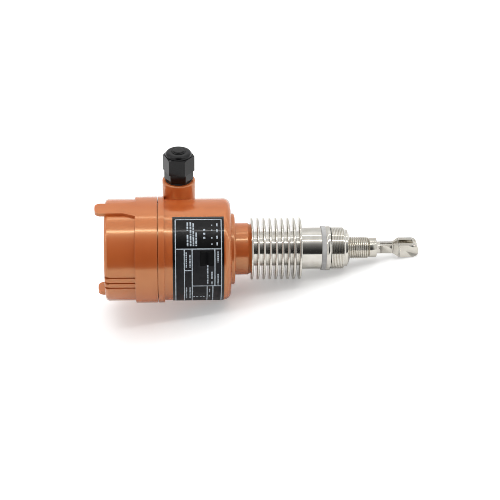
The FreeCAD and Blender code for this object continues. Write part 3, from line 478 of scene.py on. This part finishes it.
# %% Heat sink with round fins
sink = drawn_line("heat_sink_turned", [(x, 0, r) for x, r in profile])
apply_modifier(sink, "SCREW", axis="X", angle=math.radians(360), screw_offset=0, steps=TURN_STEPS,
               render_steps=TURN_STEPS, use_merge_vertices=True, merge_threshold=MERGE)
activate(sink)
bpy.ops.object.mode_set(mode="EDIT")
bpy.ops.mesh.select_all(action="SELECT")
bpy.ops.mesh.remove_doubles(threshold=MERGE)
bpy.ops.mesh.normals_make_consistent(inside=False)
bpy.ops.object.mode_set(mode="OBJECT")
bpy.ops.object.shade_smooth_by_angle(angle=math.radians(40))
sink = joined("heat_sink_turned", [sink], FINISHES["stainless"])
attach(sink, "housing")
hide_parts("heat_sink")
print("heat sink faces", len(sink.data.polygons))

# %% [markdown]
# The nameplate is printed, and the print is thin but real, so it is built as a skin of ink over
# the plate. It is laid out flat first, in millimetres from the plate's top left corner: u runs
# along the switch and v down round its side. Each patch of ink starts as a straight line along
# the switch. A Screw modifier sweeps it round the axis by the patch's height, and Solidify gives
# it its thickness. The print stands for any such plate: a frame, its cells, rows of small bars
# and a dark block.

# %% Ink helpers
plate_low, plate_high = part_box("nameplate")
PLATE_LEFT = plate_low[0] / MM
PLATE_R = -plate_low[1] / MM
PLATE_TOP_ANGLE = math.asin(plate_high[2] / MM / PLATE_R)
INK_THICKNESS = 0.03
INK_STEP_DEGREES = 2.5
BAR_GAP, LEAST_BAR = 0.5, 0.6


def ink_patch(u_start, u_end, v_start, v_end, layer):
    """Curved patch of ink; a higher layer lies over a lower one."""
    radius = PLATE_R + layer * INK_THICKNESS
    top = PLATE_TOP_ANGLE - v_start / PLATE_R
    sweep = (v_end - v_start) / PLATE_R
    depth, height = -radius * math.cos(top), radius * math.sin(top)
    patch = drawn_line("ink", [(PLATE_LEFT + u, depth, height) for u in (u_start, u_end)])
    steps = max(2, math.ceil(math.degrees(sweep) / INK_STEP_DEGREES))
    apply_modifier(patch, "SCREW", axis="X", angle=sweep, screw_offset=0, steps=steps, render_steps=steps)
    apply_modifier(patch, "SOLIDIFY", thickness=INK_THICKNESS * MM, offset=0)
    bpy.ops.object.mode_set(mode="EDIT")
    bpy.ops.mesh.select_all(action="SELECT")
    bpy.ops.mesh.normals_make_consistent(inside=False)
    bpy.ops.object.mode_set(mode="OBJECT")
    return patch


def ink_row(u_middle, width, v_start, v_end, bars):
    """Row of small bars down the plate, with bar lengths taken in turn from a list."""
    patches, v, index = [], v_start, 0
    while v < v_end - LEAST_BAR:
        end = min(v + bars[index % len(bars)], v_end)
        patches.append(ink_patch(u_middle - width / 2, u_middle + width / 2, v, end, 3))
        v, index = end + BAR_GAP, index + 1
    return patches


# %% [markdown]
# The cells come first: thin rules round the edge, across the plate and between the cells, each as
# (start, end, place). Rows of bars follow as (middle, width, start, end), and then dots and marks.
# The lower cells have a charcoal ground and one black block.

# %% Layout of the print
RULE = 0.9
PLATE_LENGTH = (plate_high[0] - plate_low[0]) / MM
PLATE_HEIGHT = 2 * PLATE_TOP_ANGLE * PLATE_R
LEFT, RIGHT, TOP, BOTTOM = 2.6, PLATE_LENGTH - 2.5, 3.4, PLATE_HEIGHT - 3.4
DIVIDER = 32.2

RULES_ALONG = [(LEFT, RIGHT, TOP), (LEFT, RIGHT, DIVIDER), (10.7, 17.9, 52.5), (17.9, RIGHT, 70.0),
               (LEFT, RIGHT, BOTTOM)]
RULES_DOWN = [(LEFT, TOP, BOTTOM), (RIGHT, TOP, BOTTOM), (10.7, DIVIDER, BOTTOM), (17.9, DIVIDER, BOTTOM),
              (38.8, DIVIDER, 70.0), (31.7, 70.0, BOTTOM), (37.0, 70.0, BOTTOM)]
ROWS = [(13.8, 1.5, 6.4, 15.2), (13.8, 1.5, 18.9, 29.5), (16.6, 1.5, 6.4, 29.5), (19.2, 1.4, 7.5, 29.5),
        (21.8, 1.5, 16.8, 29.5)]
SMALL_ROWS = [(12.5, 1.1, 35.2, 49.6), (15.9, 1.1, 37.5, 49.6), (12.5, 1.2, 71.9, 92.1),
              (15.9, 1.2, 71.9, 92.1), (32.1, 1.3, 47.4, 67.6), (36.0, 1.3, 53.9, 62.5),
              (36.0, 1.3, 64.6, 68.0), (41.7, 1.2, 34.6, 44.7), (41.7, 1.2, 56.1, 68.3),
              (33.9, 1.2, 74.2, 79.4), (33.9, 1.2, 84.6, 88.0)]
LONG_BARS, SHORT_BARS = (4.4, 2.1, 3.6, 1.5), (1.9, 0.9, 1.4)
DOTS = [(29.2, v, 1.9) for v in (14.3, 18.0, 22.0)]
MARKS = [(36.1, v, 1.2) for v in (9.6, 14.7, 22.0, 27.9)]
MARKS += [(u, 88.0, 1.8) for u in (19.7, 22.6, 25.9, 28.6)]
TALL_MARKS = [(40.9, v, 1.2, 2.9) for v in (9.3, 15.2, 21.5, 27.6)]
BLOCK = (25.1, 37.9, 33.8, 48.1)
print("plate", round(PLATE_LENGTH, 1), "by", round(PLATE_HEIGHT, 1), "mm")

# %% [markdown]
# The ink lies in three layers, each a few hundredths of a millimetre over the one before, so that
# no two faces share a place: the charcoal ground, the black block, and the pale print over both.

# %% Print on the nameplate
ink = [ink_patch(start, end, v - RULE / 2, v + RULE / 2, 3) for start, end, v in RULES_ALONG]
ink += [ink_patch(u - RULE / 2, u + RULE / 2, start, end, 3) for u, start, end in RULES_DOWN]
for row in ROWS:
    ink += ink_row(*row, bars=LONG_BARS)
for row in SMALL_ROWS:
    ink += ink_row(*row, bars=SHORT_BARS)
for u, v, size in DOTS + MARKS:
    ink.append(ink_patch(u - size / 2, u + size / 2, v - size / 2, v + size / 2, 3))
for u, v, width, height in TALL_MARKS:
    ink.append(ink_patch(u - width / 2, u + width / 2, v - height / 2, v + height / 2, 3))

pale_print = joined("nameplate_pale_print", ink, FINISHES["pale_print"])
ground = joined("nameplate_charcoal_ground", [ink_patch(LEFT, RIGHT, DIVIDER, BOTTOM, 1)],
                FINISHES["grey_print"])
block = joined("nameplate_black_block", [ink_patch(*BLOCK, 2)], FINISHES["black_print"])
for piece in (pale_print, ground, block):
    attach(piece, "housing")
print("ink patches", len(ink) + 2, "faces", len(pale_print.data.polygons))

# %% [markdown]
# The table is a plain white sheet. The part has fallen forward on it, because its steel end is
# heavy: it rests on the rounded front edge of its body and on the tips of its tines, with the
# cover in the air. Seen in the part's own frame the table is tilted to touch both rounds.

# %% Table
TABLE_SIZE = 6.0
TABLE_FRONT = -0.45
BODY_FRONT_X, BODY_R, BODY_ROUND = -112.69 * MM, 48.0 * MM, 6.6 * MM
PADDLE_HALF, TIP_ROUND = 6.3 * MM, 5.8 * MM

tip_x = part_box("sensor_fork")[1][0]
body_round = Vector((BODY_FRONT_X - BODY_ROUND, 0, BODY_ROUND - BODY_R))
tip_round = Vector((tip_x - TIP_ROUND, 0, TIP_ROUND - PADDLE_HALF))
span = tip_round - body_round
table_tilt = math.atan2(span.z, span.x) + math.asin((BODY_ROUND - TIP_ROUND) / span.length)
down = Vector((math.sin(table_tilt), 0, -math.cos(table_tilt)))
foot = tip_round + down * TIP_ROUND

bpy.ops.object.select_all(action="DESELECT")
bpy.ops.mesh.primitive_plane_add(size=TABLE_SIZE, rotation=(0, -table_tilt, 0),
                                 location=(foot.x, TABLE_FRONT + TABLE_SIZE / 2, foot.z))
table = bpy.context.object
table.name = "table"
print("table tilt", round(math.degrees(table_tilt), 2))

# %% [markdown]
# The table is covered with white paper. A little of its light is its own, seen by the camera and in
# reflections, so that it shows as white while it still takes the part's shadow.

# %% Paper
PAPER_COLOUR = "#E6E6E6"
PAPER_GLOW = 0.28
PAPER_GLOW_SEEN_IN_STEEL = 0.1


def paper():
    material = bpy.data.materials.new("white_paper_table")
    material.use_nodes = True
    tree = material.node_tree
    tree.nodes.clear()
    path = add_node(tree, "ShaderNodeLightPath")
    seen = add_node(tree, "ShaderNodeMath", {"operation": "MULTIPLY"},
                    {0: path.outputs["Is Camera Ray"], 1: PAPER_GLOW})
    mirrored = add_node(tree, "ShaderNodeMath", {"operation": "MULTIPLY"},
                        {0: path.outputs["Is Glossy Ray"], 1: PAPER_GLOW_SEEN_IN_STEEL})
    own = add_node(tree, "ShaderNodeMath", {"operation": "ADD"},
                   {0: seen.outputs[0], 1: mirrored.outputs[0]})
    matte = add_node(tree, "ShaderNodeBsdfDiffuse", inputs={"Color": linear(PAPER_COLOUR)})
    glow = add_node(tree, "ShaderNodeEmission", inputs={"Strength": own.outputs[0]})
    both = add_node(tree, "ShaderNodeAddShader", inputs={0: matte.outputs["BSDF"], 1: glow.outputs[0]})
    add_node(tree, "ShaderNodeOutputMaterial", inputs={"Surface": both.outputs["Shader"]})
    return material


table.data.materials.append(paper())
print("paper glow", PAPER_GLOW, "in reflections", PAPER_GLOW_SEEN_IN_STEEL)

# %% [markdown]
# The light is a studio: wide soft boxes overhead, a dark room in front and white paper below.
# Round polished parts show it as stripes along their length, so the world is drawn as bands
# round the part's axis, by the angle of each direction from the front, up over the top, in degrees.
# Two thin tubes between the boxes make the sharp lines on the paint and the steel, and they fade
# towards the fork. The dark room ends at pale walls left and right. The camera itself sees white.

# %% Studio
BANDS = [
    (-180, 0.8), (-90, 0.9), (-30, 0.7), (-10, 0.3), (-5, 0.06), (8, 0.03), (22, 0.05), (38, 0.13),
    (52, 0.26), (60, 0.45), (67, 0.9), (76, 0.95), (90, 0.8), (106, 0.9), (122, 1.1), (140, 0.8),
    (180, 0.8),
]
TUBES = [
    (-180, 0.0), (72.4, 0.0), (72.6, 1.0), (73.4, 1.0), (73.6, 0.0), (105.4, 0.0), (105.6, 1.0),
    (106.4, 1.0), (106.6, 0.0), (180, 0.0),
]
TUBE_LEVEL = 17.0
TUBE_FADE = (0.02, 0.09, 0.6)
SIDE_START, SIDE_END, SIDE_LEVEL = 0.25, 0.45, 0.8


def studio():
    world = bpy.data.worlds.new("studio")
    world.use_nodes = True
    tree = world.node_tree
    tree.nodes.clear()
    direction = add_node(tree, "ShaderNodeTexCoord").outputs["Generated"]
    parts = add_node(tree, "ShaderNodeSeparateXYZ", inputs={"Vector": direction})
    front = add_node(tree, "ShaderNodeMath", {"operation": "MULTIPLY"}, {0: parts.outputs["Y"], 1: -1.0})
    angle = add_node(tree, "ShaderNodeMath", {"operation": "ARCTAN2"},
                     {0: parts.outputs["Z"], 1: front.outputs[0]})
    turn = add_node(tree, "ShaderNodeMapRange", inputs={
        "Value": angle.outputs[0], "From Min": -math.pi, "From Max": math.pi})
    sideways = add_node(tree, "ShaderNodeMath", {"operation": "ABSOLUTE"}, {0: parts.outputs["X"]})
    side = add_node(tree, "ShaderNodeMapRange", inputs={
        "Value": sideways.outputs[0], "From Min": SIDE_START, "From Max": SIDE_END})
    bands, tubes = [
        add_node(tree, "ShaderNodeValToRGB", inputs={"Fac": turn.outputs["Result"]},
                 stops=[((degrees + 180) / 360, (level, level, level, 1.0)) for degrees, level in stops])
        for stops in (BANDS, TUBES)]
    boxes = add_node(tree, "ShaderNodeMixRGB", inputs={
        "Fac": side.outputs["Result"], "Color1": bands.outputs["Color"],
        "Color2": (SIDE_LEVEL, SIDE_LEVEL, SIDE_LEVEL, 1.0)})
    start, end, least = TUBE_FADE
    fade = add_node(tree, "ShaderNodeMapRange", inputs={
        "Value": parts.outputs["X"], "From Min": start, "From Max": end, "To Min": TUBE_LEVEL,
        "To Max": least * TUBE_LEVEL})
    path = add_node(tree, "ShaderNodeLightPath")
    box_light = add_node(tree, "ShaderNodeBackground", inputs={
        "Color": boxes.outputs["Color"], "Strength": 1.0})
    tube_light = add_node(tree, "ShaderNodeBackground", inputs={
        "Color": tubes.outputs["Color"], "Strength": fade.outputs["Result"]})
    lit = add_node(tree, "ShaderNodeAddShader", inputs={
        0: box_light.outputs["Background"], 1: tube_light.outputs["Background"]})
    seen = add_node(tree, "ShaderNodeBackground", inputs={"Color": linear("#FFFFFF"), "Strength": 1.0})
    mix = add_node(tree, "ShaderNodeMixShader", inputs={
        0: path.outputs["Is Camera Ray"], 1: lit.outputs["Shader"], 2: seen.outputs["Background"]})
    add_node(tree, "ShaderNodeOutputWorld", inputs={"Surface": mix.outputs["Shader"]})
    return world


bpy.context.scene.world = studio()
print("studio bands", len(BANDS), "tube edges", len(TUBES))

# %% [markdown]
# One large soft lamp hangs overhead, a little behind the part, and throws the soft shadow that
# runs along the front of it. It is kept out of reflections, because the polished parts already
# show the whole studio.

# %% Lamp
TO_LAMP = Vector((0.0, 0.12, 1.0))

bpy.ops.object.select_all(action="DESELECT")
bpy.ops.object.light_add(type="SUN", rotation=TO_LAMP.to_track_quat("Z", "Y").to_euler())
lamp = bpy.context.object
lamp.name = "lamp_overhead"
lamp.data.energy = 1.0
lamp.data.angle = math.radians(60)
lamp.visible_glossy = False
print("lamp from", [round(value, 2) for value in TO_LAMP.normalized()])

# %% [markdown]
# The camera stands a metre and a half away with a long lens, a little left of square to the
# axis and 32 degrees up. Its place is worked out from the point that it looks at, and a roll of
# one degree brings the part's axis to the slope that it has in the picture. A slightly narrower
# pixel filter keeps the threads and the print as crisp as a sharp lens would.

# %% Camera
AIM = Vector((-93.9, 0, -1.6)) * MM
AZIMUTH, ELEVATION, ROLL = -3.1, 32.0, 1.1
DISTANCE = 1.4725
FOCAL_MM = 111.6

azimuth = math.radians(AZIMUTH)
elevation = math.radians(ELEVATION)
toward = Vector((math.sin(azimuth) * math.cos(elevation), -math.cos(azimuth) * math.cos(elevation),
                 math.sin(elevation)))
camera_data = bpy.data.cameras.new("camera")
camera_data.lens = FOCAL_MM
camera_data.sensor_width = 36.0
camera = bpy.data.objects.new("camera", camera_data)
bpy.context.scene.collection.objects.link(camera)
turn_to_view = toward.to_track_quat("Z", "Y").to_matrix() @ Matrix.Rotation(math.radians(ROLL), 3, "Z")
camera.matrix_world = Matrix.Translation(AIM + toward * DISTANCE) @ turn_to_view.to_4x4()
bpy.context.scene.camera = camera
bpy.context.scene.view_settings.view_transform = "Standard"
bpy.context.scene.cycles.filter_width = 0.9
print("camera", [round(value, 3) for value in camera.location])
